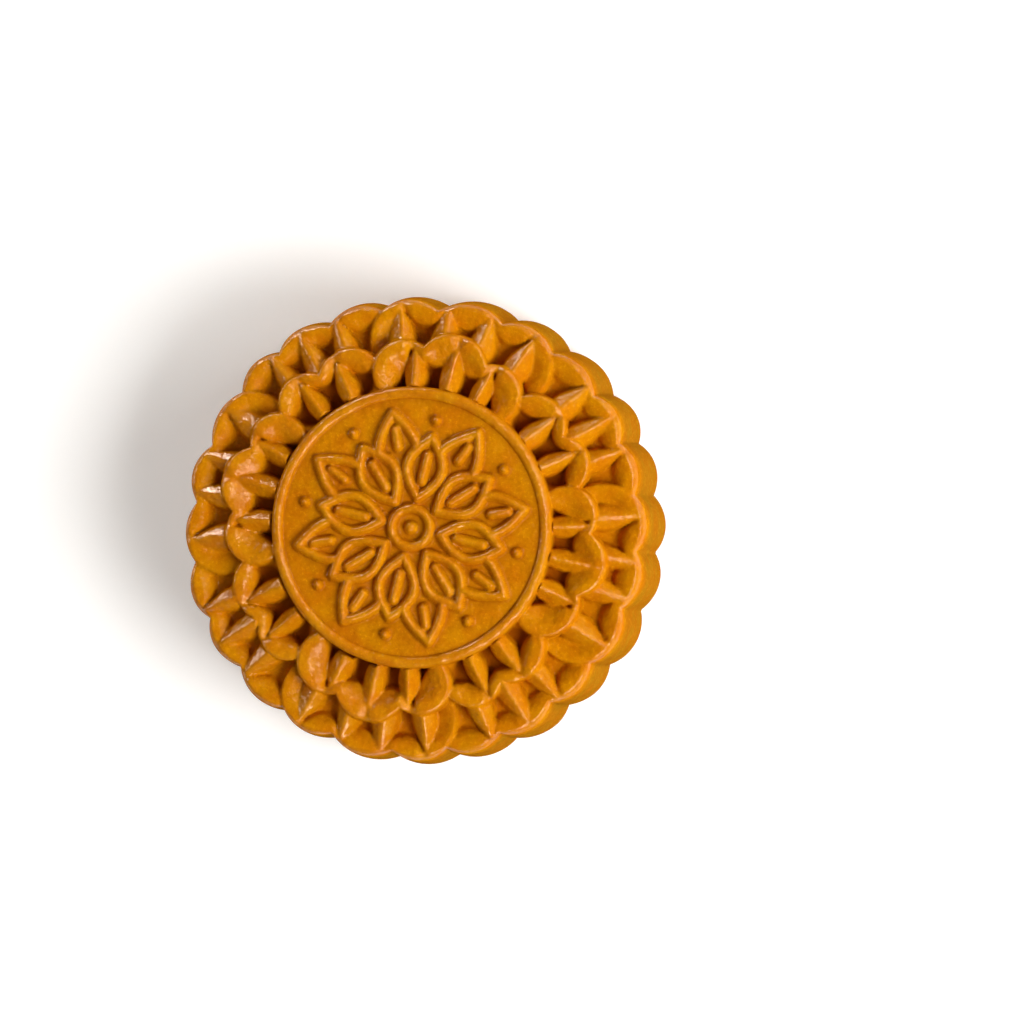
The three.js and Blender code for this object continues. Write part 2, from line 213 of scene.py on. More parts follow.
def wide_depth(ring, radius, angle):
    """Depth in the wide fan: along the radius on its petals, across the curve on its blades."""
    petals = outline([ring["middle"], ring["side"]], angle) - radius
    return np.where(angle > ring["side"][0], depth_in(ring["side"], radius, angle), petals)


def narrow_depth(ring, radius, angle):
    """Depth in the narrow fan, in the same way, with no blade."""
    petals = outline(ring["narrow"], angle) - radius
    first = ring["narrow"][0]
    return np.where(angle < first[0], depth_in(first, radius, angle), petals)


def rim_width(ring, arcs, angle):
    """How far the rounded edge reaches in: rim + soften × (outline − notch), so more on the ends of the petals."""
    return ring["rim"] + ring["soften"] * np.maximum(outline(arcs, angle) - NOTCH, 0)


print("a point 35 mm out is", round(float(wide_depth(OUTER, 35.0, 0.0)), 1), "mm inside the edge of the outer ring")


# %% [markdown]
# ## Petals
#
# A petal on such a cake is a low pillow with a rounded edge. It falls a little from its edge inward, then drops down
# a steep bank into a pit. The pits are what the mould's raised parts press in, so their banks are almost upright. A
# fan of petals lies over its neighbour, and up to its edge the lower fan shows. The edge leans in by the draft, the
# small slope that lets dough slip out of a mould.

# %% Pillows and edges
DRAFT = 0.3
BAND_PITCH = 0.5


def fan_level(ring, depth, width, pads, radius, angle, lower=0.0):
    """Pillows that fall from the rim inward, ever more steeply, with steep banks down to the floor."""
    inside = np.max([depth_in(pad, radius, angle) for pad in pads], axis=0)
    inward = np.maximum(depth - ring["rim_from"] - width, 0)
    sag = ring["sag"] * (1 - np.clip(inside / ring["reach_in"], 0, 1)) ** 2
    sunk = ring["fall"] * inward + ring["sink"] * smooth(inward, ring["sink_from"], ring["sink_to"])
    pillow = ring["crown"] - lower - sunk - sag
    cover = np.maximum(inside, (ring["band"] - depth) * BAND_PITCH)
    return blend(ring["floor"], np.maximum(pillow, ring["floor"]), smooth(cover, -ring["bank"], ring["bank"]))


def over_edge(ring, depth, width, below, level):
    """Up a steep drafted flank from what is below, then over a rounded edge to the level."""
    shoulder = level - ring["rim_drop"] * (1 - quarter_round((depth - ring["rim_from"]) / width))
    top = np.maximum(shoulder, np.minimum(below, level))
    return blend(below, top, np.clip(depth / DRAFT, 0, 1))


print("a pit of the inner ring is", round(INNER["crown"] - INNER["floor"], 1), "mm deep")

# %% [markdown]
# ## Spikes
#
# Between the pits stand spikes, like the ribs of a leaf: narrow at the root, widest soon after it, and pointed at the
# tip, with two even flanks and a crest that the oven has rounded.

# %% Spikes
SPIKE_START = 0.3
SPIKE_ROUND = 0.42
SPIKE_BANK = 0.35


def spike_plan(ring, spike, radius, angle):
    """How far along a spike a point is, how far across from its crest, and its share of the bank at the outline.
    Half the width there is half the full width × sin(π × a share that runs from SPIKE_START to 1)."""
    middle, tip = spike
    along = (radius - ring["root"]) / (tip - ring["root"])
    half = ring["spike_width"] / 2 * np.sin(np.pi * blend(SPIKE_START, 1, np.clip(along, 0, 1)))
    across = radius * np.sin(np.radians(np.abs(angle - middle)))
    share = np.where(along >= 0, np.clip((half - across) / SPIKE_BANK, 0, 1), 0)
    return along, across, share


def with_spikes(ring, radius, angle, below):
    """Spikes over the rest: flanks of one slope down from a rounded crest, and a short steep bank at the outline."""
    level = below
    for spike in ring["spikes"]:
        along, across, share = spike_plan(ring, spike, radius, angle)
        crest = blend(ring["root_level"], ring["tip_level"], along)
        roof = crest - ring["flank"] * (np.hypot(across, SPIKE_ROUND) - SPIKE_ROUND)
        level = np.maximum(level, blend(level, roof, share))
    return level


print("a spike's root is", round(INNER["spike_width"] * math.sin(math.pi * SPIKE_START), 1), "mm wide")


# %% [markdown]
# ## One layer over another
#
# The layers go on in the order in which the petals overlap: the outer ring, then the inner one, and in each ring the
# narrow fans before the wide ones, and the spikes last. Each function takes the height below and gives the new one.

# %% Heights of a ring
def ring_level(ring, radius, angle, below):
    """One ring over what is below it: the narrow fan, the wide fan over its edge, then the spikes."""
    place = radius - waves(ring["reach"], angle)
    turn = folded(untwisted(ring, angle))
    lift = waves(ring["lift"], angle)
    beside = turn > ring["side"][0]
    narrow = narrow_depth(ring, place, turn)
    wide = wide_depth(ring, place, turn)
    narrow_rim = rim_width(ring, ring["narrow"], turn)
    wide_rim = rim_width(ring, [ring["middle"], ring["side"]], turn)
    narrow_top = fan_level(ring, narrow, narrow_rim, ring["narrow_pads"], place, turn, ring["drop"]) + lift
    wide_top = fan_level(ring, wide, wide_rim, ring["wide_pads"], place, turn) + lift
    first = np.where(beside, over_edge(ring, narrow, narrow_rim, below, narrow_top), below)
    second = over_edge(ring, wide, wide_rim, first, wide_top)
    return with_spikes(ring, place, turn, second - lift) + lift


def top_level(radius, angle):
    """The top of the cake outside the disc."""
    return ring_level(INNER, radius, angle, ring_level(OUTER, radius, angle, WALL_TOP))


sample_radius, sample_angle = np.array([24.5, 31.0]), np.array([0.0, 45.0])
print("heights on an inner and an outer spike, in mm:", top_level(sample_radius, sample_angle).round(2))


# %% [markdown]
# ## The side
#
# The dough fills the mould's flutes, so the side has the outline of the outer petals. When the cake is knocked out
# and baked it slumps a little: it is widest low down, and its base edge is rounded.

# %% Outline and side
def edge_radius(ring, angle):
    """The scalloped outline of a ring: the outermost of its arcs."""
    turn = folded(untwisted(ring, angle))
    return outline([ring["middle"], ring["side"], *ring["narrow"]], turn) + waves(ring["reach"], angle)


def wall_radius(angle, height):
    """The side: the outer outline, plus a swell that is fullest low down, less a tuck under the rounded base."""
    share = np.maximum((height - SWELL_LEVEL) / (WALL_TOP - SWELL_LEVEL), 0)
    tuck = BASE_TUCK * (1 - quarter_round(height / BASE_ROUND))
    return edge_radius(OUTER, angle) + WALL_SWELL * (1 - share**2) - tuck


print("in the middle of a wide fan the side swells to", round(float(wall_radius(0.0, SWELL_LEVEL)), 1), "mm")

# %% [markdown]
# ## The medallion
#
# The middle of such a cake carries a raised picture, pressed from grooves that a gouge cuts into the mould, so its
# lines are rounded ridges of one width. This one is a lotus: a seed in a ring, eight petals, the tips of eight more
# between them, and eight pearls. All that is needed is the distance of a point from the nearest line.

# %% Lines of the medallion
PETALS = 8
FRONT = dict(start=4.9, tip=14.9, half=2.9, shown=0.0, vein=(7.6, 12.0))
BACK = dict(start=6.6, tip=18.6, half=3.15, shown=0.5, vein=(13.2, 16.0))
RING = 3.1
SEED = 1.25
PEARL_AT, PEARL_RADIUS = 17.7, 0.95
STROKE_HALF = 1.0
STROKE_RISE = 1.3
STROKE_POWER = 2.2
CURVE_STEPS = 40


def distance_to_path(x, y, path_x, path_y):
    """The distance of points from a chain of straight pieces: the least over all pieces."""
    ax, ay = path_x[:-1], path_y[:-1]
    dx, dy = np.diff(path_x), np.diff(path_y)
    share = ((x[:, None] - ax) * dx + (y[:, None] - ay) * dy) / (dx**2 + dy**2)
    share = np.clip(share, 0, 1)
    return np.hypot(x[:, None] - ax - share * dx, y[:, None] - ay - share * dy).min(axis=1)


def petal_lines(petal, x, y):
    """The distance from a petal's edge and vein. The edge swells as half × sin(π × share) beside the vein."""
    share = np.linspace(petal["shown"], 1, CURVE_STEPS)
    swell = petal["half"] * np.sin(np.pi * share)
    edge = distance_to_path(x, y, blend(petal["start"], petal["tip"], share), swell)
    vein = distance_to_path(x, y, np.array(petal["vein"]), np.zeros(2))
    return np.minimum(edge, vein)


print("petals of", FRONT["tip"] - FRONT["start"], "mm, and of", BACK["tip"] - BACK["start"], "mm behind them")


# %% [markdown]
# The medallion is the same in every sixteenth of the circle, so a point of the field is folded into one sixteenth,
# and its distance from the nearest line there gives its height. The seed and the pearls are lines without length,
# whose distance is scaled to their own width.

# %% Heights of the medallion
def medallion_distance(radius, angle):
    """The distance to the middle of the nearest line, scaled for the seed and the pearls to the lines' width."""
    sector = 180 / PETALS
    turn = np.radians(np.abs((angle + sector) % (2 * sector) - sector))
    x, y = radius * np.cos(turn), radius * np.sin(turn)
    other = np.radians(sector) - turn
    return np.minimum.reduce([
        petal_lines(FRONT, x, y),
        petal_lines(BACK, radius * np.cos(other), radius * np.sin(other)),
        np.abs(radius - RING),
        radius * STROKE_HALF / SEED,
        np.hypot(x - PEARL_AT, y) * STROKE_HALF / PEARL_RADIUS,
    ])


def medallion_rise(distance):
    """The height of the lines over the field: rise × (1 − (distance ÷ half width) ^ power)."""
    return STROKE_RISE * (1 - np.clip(distance / STROKE_HALF, 0, 1) ** STROKE_POWER)


seed_distance = medallion_distance(np.zeros(1), np.zeros(1))
print("the seed rises", medallion_rise(seed_distance).round(2)[0], "mm over the field")

# %% [markdown]
# ## The field as a surface
#
# A round top could be a fan of triangles, but they get long and thin at the middle and wide at the rim. So the field
# is a square grid that is pressed into a circle: each square ring of the grid becomes a round one, and all its cells
# stay nearly square.

# %% The pressed grid
CELLS = 168
SECTORS = 4 * CELLS


def pressed_square(cells):
    """Points of a square grid moved onto a disc of radius 1: the longer coordinate becomes the radius, and the ratio
    of the two becomes the angle, an eighth of a turn at the corners."""
    line = np.linspace(-1, 1, cells + 1)
    u, v = np.meshgrid(line, line, indexing="ij")
    flat = np.abs(u) >= np.abs(v)
    safe_u = np.where(u == 0, 1, u)
    safe_v = np.where(v == 0, 1, v)
    radius = np.where(flat, u, v)
    angle = np.where(flat, np.pi / 4 * v / safe_u, np.pi / 2 - np.pi / 4 * u / safe_v)
    return radius * np.cos(angle), radius * np.sin(angle)


unit_x, unit_y = pressed_square(CELLS)
field_radius = FIELD_RADIUS * np.hypot(unit_x, unit_y).ravel()
field_angle = np.degrees(np.arctan2(unit_y, unit_x)).ravel()
line_distance = medallion_distance(field_radius, field_angle)
field_height = FIELD_TOP + medallion_rise(line_distance)
print("the field has", len(field_radius), "points")


# %% [markdown]
# The grid's edge has four times as many points as the grid has cells along one side. All the loops outside it have
# the same number, so the rest of the cake is plain quads from loop to loop.

# %% Faces and edge of the grid
def grid_faces(cells):
    """The quads of the grid, turning to the left as seen from above."""
    index = np.arange((cells + 1) ** 2).reshape(cells + 1, cells + 1)
    corners = [index[:-1, :-1], index[1:, :-1], index[1:, 1:], index[:-1, 1:]]
    return np.stack(corners, axis=-1).reshape(-1, 4)


def grid_border(cells):
    """The grid's outer points in order, from an eighth of a turn before +X and on to the left."""
    index = np.arange((cells + 1) ** 2).reshape(cells + 1, cells + 1)
    sides = [index[-1, :-1], index[::-1, -1][:-1], index[0, ::-1][:-1], index[:, 0][:-1]]
    return np.concatenate(sides)


sector_angle = -45 + 360 * np.arange(SECTORS) / SECTORS
print("and", len(grid_border(CELLS)), "of them along its edge")

# %% [markdown]
# ## Loops round the field
#
# Outside the field the surface is built loop by loop, like a potter's coils. Loops are kept under the name of their
# part, because the crust is finished part by part later.

# %% Helpers for loops
loops = {}


def add_loops(part, radius, angle, height):
    """Keep the loops of a part, each a row of radii, angles and heights."""
    rows = np.broadcast_arrays(np.atleast_2d(radius), np.atleast_2d(angle), np.atleast_2d(height), sector_angle)
    loops[part] = np.stack(rows[:3])


def column(*values):
    """Values in a column, one for each loop."""
    return np.concatenate([np.atleast_1d(value) for value in values])[:, None]


inner_angle = twisted(INNER, sector_angle)
outer_angle = twisted(OUTER, sector_angle)
print("each loop has", len(sector_angle), "points")

# %% [markdown]
# ## The bead
#
# A raised bead frames the field. It is half a round, and its outer foot drops a little lower than the field. Two more
# loops lead from there down to the ring of petals.

# %% Loops over the bead
BEAD_STEPS = 11
FOOT_SHARES = (0.35, 0.7)

turn = column(np.linspace(0, np.pi, BEAD_STEPS)[1:])
bead_radius = FIELD_RADIUS + BEAD_WIDTH / 2 * (1 - np.cos(turn))
bead_drop = np.where(turn > np.pi / 2, BEAD_FOOT_DROP * (1 - np.sin(turn)), 0)
bead_height = FIELD_TOP + BEAD_RISE * np.sin(turn) - bead_drop
add_loops("bead", bead_radius, sector_angle, bead_height)
foot = DISC_RADIUS + DISC_FLARE
share = column(*FOOT_SHARES)
foot_angle = blend(sector_angle, inner_angle, share)
foot_height = blend(bead_height[-1], top_level(foot, foot_angle), share)
add_loops("foot", blend(bead_radius[-1], foot, share), foot_angle, foot_height)
print("the bead has", len(bead_radius), "loops")

# %% [markdown]
# ## The two tiers
#
# Each tier of petals is one block of loops, from the foot of the tier above out to its own scalloped edge, and round
# that edge. The loops are closer together in the rounded edge, where the surface turns fast. The loops follow the
# twist of their ring, so the notches between petals fall along the mesh and stay sharp.

# %% Loops over the rings
INNER_STEPS, OUTER_STEPS, RIM_STEPS = 28, 26, 7
RIM_END = 0.2
RIM_TURN = column(np.linspace(np.pi / 2, RIM_END, RIM_STEPS + 1)[1:])
FLANK_SHARES = (0.33, 0.66)


def add_tier(part, ring, start, angle, steps):
    """Loops from start to the ring's crest, then round its edge."""
    edge = edge_radius(ring, angle) - ring["rim_from"]
    width = rim_width(ring, [ring["middle"], ring["side"], *ring["narrow"]], folded(untwisted(ring, angle)))
    top = blend(start, edge - width, column(np.linspace(0, 1, steps + 1)))
    rim = edge - width * (1 - np.cos(RIM_TURN))
    radius = np.vstack([top, rim])
    add_loops(part, radius, angle, top_level(radius, angle))


add_tier("inner ring", INNER, foot, inner_angle, INNER_STEPS)
share = column(*FLANK_SHARES)
flank_angle = blend(inner_angle, outer_angle, share)
flank_radius = edge_radius(INNER, flank_angle) - DRAFT * (1 - share)
add_loops("flank", flank_radius, flank_angle, top_level(flank_radius, flank_angle))
add_tier("outer ring", OUTER, edge_radius(INNER, outer_angle), outer_angle, OUTER_STEPS)
print("the rings have", sum(block.shape[1] for block in loops.values()) - len(bead_radius), "loops")

# %% [markdown]
# ## Side and base
#
# The side goes down from the outer edge, rounds in under the cake and ends in a flat base, where the cake lies on
# the baking tray.

# %% Loops down the side
SIDE_STEPS, BASE_STEPS = 13, 5
BASE_SHARES = (0.9, 0.5)
turn = np.linspace(0, np.pi / 2, BASE_STEPS)[1:]
side_height = column(np.linspace(WALL_TOP, BASE_ROUND, SIDE_STEPS), BASE_ROUND * (1 - np.sin(turn)))
side_radius = wall_radius(outer_angle, side_height)
add_loops("side", side_radius, outer_angle, side_height)
add_loops("base", side_radius[-1] * column(*BASE_SHARES), outer_angle, 0.0)

loop_radius, loop_angle, loop_height = np.concatenate(list(loops.values()), axis=1)
part_ends = np.cumsum([block.shape[1] for block in loops.values()])
part_rows = {part: slice(end - loops[part].shape[1], end) for part, end in zip(loops, part_ends)}
print(len(loop_radius), "loops of", SECTORS, "points:", list(loops))

# %% [markdown]
# ## All points in one frame
#
# The twisted, stretched outline isn't quite centred on the axis. The box of the finished points is centred over the
# origin, as the CAD model's is, so both models stand in the same place.

# %% Points of the cake
field_x = field_radius * np.cos(np.radians(field_angle))
field_y = field_radius * np.sin(np.radians(field_angle))
loop_x = loop_radius * np.cos(np.radians(loop_angle))
loop_y = loop_radius * np.sin(np.radians(loop_angle))
points = np.vstack([
    np.column_stack([field_x, field_y, field_height]),
    np.column_stack([loop_x.ravel(), loop_y.ravel(), loop_height.ravel()]),
    [[0, 0, 0]],
])
low, high = points.min(axis=0), points.max(axis=0)
box_middle = (low + high) / 2
points[:, :2] -= box_middle[:2]
print(len(points), "points, box in mm:", (high - low).round(2))

# %% [markdown]
# ## Faces
#
# A loop and the next one are joined by a row of quads. The edge of the field is the first row, and the base is
# closed with a fan round its middle. All faces turn to the left as seen from outside, so they point outward.

# %% Faces of the cake
first = len(field_radius)
rows = np.vstack([grid_border(CELLS), first + np.arange(loop_radius.size).reshape(loop_radius.shape)])
after = np.roll(rows, -1, axis=1)
loop_faces = np.stack([rows[:-1], rows[1:], after[1:], after[:-1]], axis=-1).reshape(-1, 4)
quads = np.vstack([grid_faces(CELLS), loop_faces])
base_middle = len(points) - 1
fan = np.column_stack([rows[-1], np.full(SECTORS, base_middle), after[-1]])
print(2 * len(quads) + len(fan), "triangles")


# %% [markdown]
# ## The mesh
#
# foreach_set copies whole arrays into Blender's mesh and is much faster than a loop over points. The new piece rides
# on the cake's body, and stands for the CAD solid, which stays hidden behind it.

# %% Mesh of the cake
def mesh_from_arrays(name, points, quads, triangles):
    """A mesh with the given points, in metres, and faces."""
    mesh = bpy.data.meshes.new(name)
    corners = np.concatenate([quads.ravel(), triangles.ravel()]).astype(np.int32)
    starts = np.concatenate([
        4 * np.arange(len(quads)),
        4 * len(quads) + 3 * np.arange(len(triangles)),
    ]).astype(np.int32)
    mesh.vertices.add(len(points))
    mesh.vertices.foreach_set("co", points.astype(np.float32).ravel())
    mesh.loops.add(len(corners))
    mesh.loops.foreach_set("vertex_index", corners)
    mesh.polygons.add(len(starts))
    mesh.polygons.foreach_set("loop_start", starts)
    mesh.polygons.foreach_set("use_smooth", np.ones(len(starts), dtype=bool))
    mesh.update(calc_edges=True)
    mesh.validate()
    return mesh


cake = bpy.data.objects.new("crusted_mooncake", mesh_from_arrays("crusted_mooncake", points * MM, quads, fan))
bpy.context.scene.collection.objects.link(cake)
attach(cake, "root")
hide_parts("mooncake")
print("mesh with", len(cake.data.polygons), "faces")

# %% [markdown]
# ## Painted shade in the hollows, and where the crust is pale or sandy
#
# The hollows get painted shade: their colour is darkened the deeper they lie below their petals, and round the foot
# of the medallion's lines, where shade falls. An oven also browns dough unevenly: the side stays paler than the top,
# and the flat parts show their grain more than the glazed petals. These places could be painted by hand. Here they
# follow from the form, so they are computed with the points: pit is 1 at the bottom of a hollow, where the painted
# shade is darkest, side is 1 on the wall, and sand is the strength of the grain.

# %% Masks of colour and of painted shade
SHADE_DEPTH_FROM, SHADE_DEPTH_FULL = 2.2, 3.9
CORNER_SHADE, CORNER_FADE, CORNER_FROM = 0.6, 0.45, 0.85
SIDE_FROM, SIDE_FADE = -1.0, 4.0
FIELD_SAND, PETAL_SAND, WALL_SAND = 0.75, 0.55, 1.0

part_top = {"bead": FIELD_TOP, "foot": FIELD_TOP, "inner ring": INNER["crown"],
            "flank": OUTER["crown"], "outer ring": OUTER["crown"]}
# Painted shade in the hollows: the colour darkens the deeper a point lies below the top of its part.
loop_painted_shade = np.zeros_like(loop_height)
for part, top in part_top.items():
    loop_painted_shade[part_rows[part]] = smooth(top - loops[part][2], SHADE_DEPTH_FROM, SHADE_DEPTH_FULL)
# Painted shade round the foot of the medallion's lines, fading away from them across the field.
corner = np.minimum(np.maximum(line_distance - STROKE_HALF, 0), FIELD_RADIUS - field_radius)
field_painted_shade = CORNER_SHADE * np.exp(-corner / CORNER_FADE) * (line_distance > CORNER_FROM * STROKE_HALF)
loop_side = np.zeros_like(loop_height)
loop_side[part_rows["side"]] = smooth(WALL_TOP - loops["side"][2], SIDE_FROM, SIDE_FADE)
loop_side[part_rows["base"]] = 1
loop_sand = blend(PETAL_SAND, WALL_SAND, loop_side)
print("share of points in pits:", (loop_painted_shade > 0.5).mean().round(3))


# %% [markdown]
# ## Where the egg wash went
#
# The wash is brushed over the top, so it catches on what stands up: the crests of the spikes and the rims get most of
# it, the flat petals and the field little, the hollows and the side none. It thins out round the edge of a rim, by
# the square of the sine. It was brushed on from the left, and there it also lies on the flanks, while on the far side
# it only caught on the crests: two slow waves round the cake.

# %% Mask of the glaze
BEAD_GLAZE, INNER_GLAZE, PETAL_GLAZE, RIM_GLAZE = 0.5, 0.4, 0.12, 0.8
FIELD_GLAZE, STROKE_GLAZE = 0.1, 0.4
BRUSHED, BRUSH_WAVE = 0.6, [(0.45, 1, 4.4)]
CREST_GLAZE, CREST_WAVE, CREST_WIDTH = 0.5, [(0.5, 1, 0.64)], 0.4


def on_spikes(ring, radius, angle):
    """1 on the spikes of a ring and 0 beside them, and 1 on their crests falling to 0 beside those:
    1 − distance from the crest ÷ CREST_WIDTH."""
    place = radius - waves(ring["reach"], angle)
    turn = folded(untwisted(ring, angle))
    plans = [spike_plan(ring, spike, place, turn) for spike in ring["spikes"]]
    spikes = np.max([share for _, _, share in plans], axis=0)
    crests = np.max([share * np.clip(1 - across / CREST_WIDTH, 0, 1) for _, across, share in plans], axis=0)
    return spikes, crests


loop_glaze = np.zeros_like(loop_height)
loop_glaze[part_rows["inner ring"]] = INNER_GLAZE
outer_spikes, outer_crests = on_spikes(OUTER, *loops["outer ring"][:2])
inner_crests = on_spikes(INNER, *loops["inner ring"][:2])[1]
loop_glaze[part_rows["outer ring"]] = blend(PETAL_GLAZE, 1, outer_spikes)
loop_glaze *= BRUSHED + waves(BRUSH_WAVE, loop_angle)
loop_glaze[part_rows["bead"]] = BEAD_GLAZE
loop_glaze[part_rows["foot"]] = BEAD_GLAZE
crest_glaze = CREST_GLAZE + waves(CREST_WAVE, loop_angle)
for part, crests in (("inner ring", inner_crests), ("outer ring", outer_crests)):
    ring_rows = part_rows[part]
    loop_glaze[ring_rows] = np.maximum(loop_glaze[ring_rows], crest_glaze[ring_rows] * crests)
    loop_glaze[ring_rows.stop - RIM_STEPS:ring_rows.stop] = RIM_GLAZE * np.sin(RIM_TURN) ** 2
loop_glaze *= 1 - loop_painted_shade
field_glaze = np.where(line_distance < STROKE_HALF, STROKE_GLAZE, FIELD_GLAZE)
print("most and mean glaze:", loop_glaze.max().round(2), loop_glaze.mean().round(2))


# %% [markdown]
# The masks go into the mesh as attributes, one number for each point, which the material can read by name.

# %% Store the masks
def store(name, field_values, loop_values, base_value):
    """One number for each point, in the order of the points: field, loops, middle of the base."""
    values = np.concatenate([field_values.ravel(), loop_values.ravel(), [base_value]])
    attribute = cake.data.attributes.new(name, "FLOAT", "POINT")
    attribute.data.foreach_set("value", values.astype(np.float32))


# The pit attribute carries the painted shade of the hollows and of the corners by the medallion's lines.
store("pit", field_painted_shade, loop_painted_shade, 0)
store("glaze", field_glaze, loop_glaze, 0)
store("side", np.zeros(len(field_radius)), loop_side, 1)
store("sand", np.full(len(field_radius), FIELD_SAND), loop_sand, WALL_SAND)
print("attributes:", [name for name in ("pit", "glaze", "side", "sand") if name in cake.data.attributes])

# %% [markdown]
# ## A grain that other bakes could share
#
# The grain of a baked crust looks alike wherever it is used, so it is a node group. It reads the object's own
# coordinates, in metres, and gives three values: slow patches of browning, fine specks, and a height for the bump.
# The patches are a few millimetres wide and the specks about half a millimetre, as close views of a crust show.
# Fineness scales the specks and the height for a finer or a coarser dough. Each noise has its scale, the number of
# cells in a metre, its detail and its roughness.

# %% Node group for the grain
PATCHES = dict(scale=260, detail=3, roughness=0.6)
SPECKS = dict(scale=1700, detail=2, roughness=0.75)
PEEL = dict(scale=1300, detail=4, roughness=0.65)


def grain_group():
    """A group with the outputs Patches, Specks and Height, each near 0.5 on average."""
    group = bpy.data.node_groups.new("Baked grain", "ShaderNodeTree")
    group.interface.new_socket("Fineness", in_out="INPUT", socket_type="NodeSocketFloat").default_value = 1
    for name in ("Patches", "Specks", "Height"):
        group.interface.new_socket(name, in_out="OUTPUT", socket_type="NodeSocketFloat")
    nodes, links = group.nodes, group.links
    entry, leave = nodes.new("NodeGroupInput"), nodes.new("NodeGroupOutput")
    place = nodes.new("ShaderNodeTexCoord")

    def noise(output, scale, detail, roughness, fine=True):
        """A noise of a scale, times Fineness if it is a fine one, led to an output."""
        texture = nodes.new("ShaderNodeTexNoise")
        texture.inputs["Scale"].default_value = scale
        texture.inputs["Detail"].default_value = detail
        texture.inputs["Roughness"].default_value = roughness
        links.new(place.outputs["Object"], texture.inputs["Vector"])
        if fine:
            times = nodes.new("ShaderNodeMath")
            times.operation = "MULTIPLY"
            times.inputs[0].default_value = scale
            links.new(entry.outputs["Fineness"], times.inputs[1])
            links.new(times.outputs[0], texture.inputs["Scale"])
        links.new(texture.outputs["Fac"], leave.inputs[output])

    noise("Patches", **PATCHES, fine=False)
    noise("Specks", **SPECKS)
    noise("Height", **PEEL)
    return group


grain = grain_group()
print("group sockets:", [item.name for item in grain.interface.items_tree])

# %% [markdown]
# ## Tools for the material
#
# A material is a net of small nodes. A few helpers make the next cells read like sentences: each adds one node and
# gives back its output. The first three set or read a value, or bring it into range.

# %% Helpers for values
crust = bpy.data.materials.new("Glazed crust")
crust.use_nodes = True
nodes, links = crust.node_tree.nodes, crust.node_tree.links
shader = nodes["Principled BSDF"]


def feed(socket, value):
    """Link an output to a socket, or set a constant on it."""
    if isinstance(value, bpy.types.NodeSocket):
        links.new(value, socket)
    else:
        socket.default_value = value


def mask(name):
    """The output of one of the stored attributes."""
    node = nodes.new("ShaderNodeAttribute")
    node.attribute_name = name
    return node.outputs["Fac"]


def between(value, low, high, to_low=0.0, to_high=1.0):
    """The value moved from the range low to high into another, and kept in it."""
    node = nodes.new("ShaderNodeMapRange")
    for socket, setting in zip(node.inputs, (value, low, high, to_low, to_high)):
        feed(socket, setting)
    return node.outputs["Result"]


print("material", crust.name, "starts with", len(nodes), "nodes")


# %% [markdown]
# The others combine: two colours, two values, or a height and a normal.

# %% Helpers for mixing
def mixed(share, first, second, blend_type="MIX"):
    """A mix of two colours."""
    node = nodes.new("ShaderNodeMix")
    node.data_type = "RGBA"
    node.blend_type = blend_type
    feed(node.inputs["Factor"], share)
    feed(node.inputs["A"], first)
    feed(node.inputs["B"], second)
    return node.outputs["Result"]


def product(first, second):
    """Two values multiplied."""
    node = nodes.new("ShaderNodeMath")
    node.operation = "MULTIPLY"
    feed(node.inputs[0], first)
    feed(node.inputs[1], second)
    return node.outputs[0]


def bumped(height, distance, normal=None):
    """A normal that leans as a surface would with the given height, in metres, over another normal."""
    node = nodes.new("ShaderNodeBump")
    node.inputs["Strength"].default_value = 1.0
    node.inputs["Distance"].default_value = distance
    feed(node.inputs["Height"], height)
    if normal is not None:
        feed(node.inputs["Normal"], normal)
    return node.outputs["Normal"]


print("helpers:", [helper.__name__ for helper in (mask, between, mixed, product, bumped)])

# %% [markdown]
# ## Colour of the crust
#
# The colour is mixed from a few tones: reddish brown on what browned most, more golden where it browned less, a dark
# painted shade in the pits and round the lines of the medallion, paler and duller on the side. Specks then shift it a
# little everywhere, some browner, some paler. A noise stays mostly between 0.3 and 0.7, so a range inside that decides
# how much of the crust a tone covers. A range is two levels of the noise, and after them the two values that these
# become, where they aren't 0 and 1.

# %% Colour
RAISED = (0.47, 0.138, 0.001, 1)
GOLDEN = (0.51, 0.184, 0.001, 1)
# The dark brown of the painted shade in the hollows.
PAINTED_PIT_SHADE = (0.29, 0.07, 0.001, 1)
SIDE = (0.305, 0.124, 0.004, 1)
SIDE_BROWN = (0.325, 0.106, 0.003, 1)
BROWNER = (0.62, 0.52, 0.5, 1)
PALER = (1.27, 1.48, 2.0, 1)
TOP_RANGE, SIDE_RANGE = (0.35, 0.65), (0.4, 0.6)
BROWNER_RANGE, PALER_RANGE = (0.35, 0.5, 0.3, 0.0), (0.57, 0.68, 0.0, 1.0)

texture = nodes.new("ShaderNodeGroup")
texture.node_tree = grain
patches, specks = texture.outputs["Patches"], texture.outputs["Specks"]
sand = mask("sand")
top_colour = mixed(between(patches, *TOP_RANGE), RAISED, GOLDEN)
side_colour = mixed(between(patches, *SIDE_RANGE), SIDE_BROWN, SIDE)
colour = mixed(mask("side"), top_colour, side_colour)
colour = mixed(product(sand, between(specks, *BROWNER_RANGE)), colour, BROWNER, "MULTIPLY")
colour = mixed(product(sand, between(specks, *PALER_RANGE)), colour, PALER, "MULTIPLY")
# Painted shade: the pits, and the corners by the lines, are mixed toward a dark brown.
colour = mixed(mask("pit"), colour, PAINTED_PIT_SHADE)
feed(shader.inputs["Base Color"], colour)
print("colour nodes:", len(nodes))

# %% [markdown]
# ## Gloss of the crust
#
# Dough itself is dull. Egg wash is a thin coat with a clear shine, and its weight follows the glaze attribute, broken
# up by the specks, because the wash sinks into the open grain. Baked dough is never quite even: shallow dents a few
# millimetres wide bend its surface, and a fine peel lies over them. The wash levels the peel a little, so the coat
# gets a shallower bump of its own.

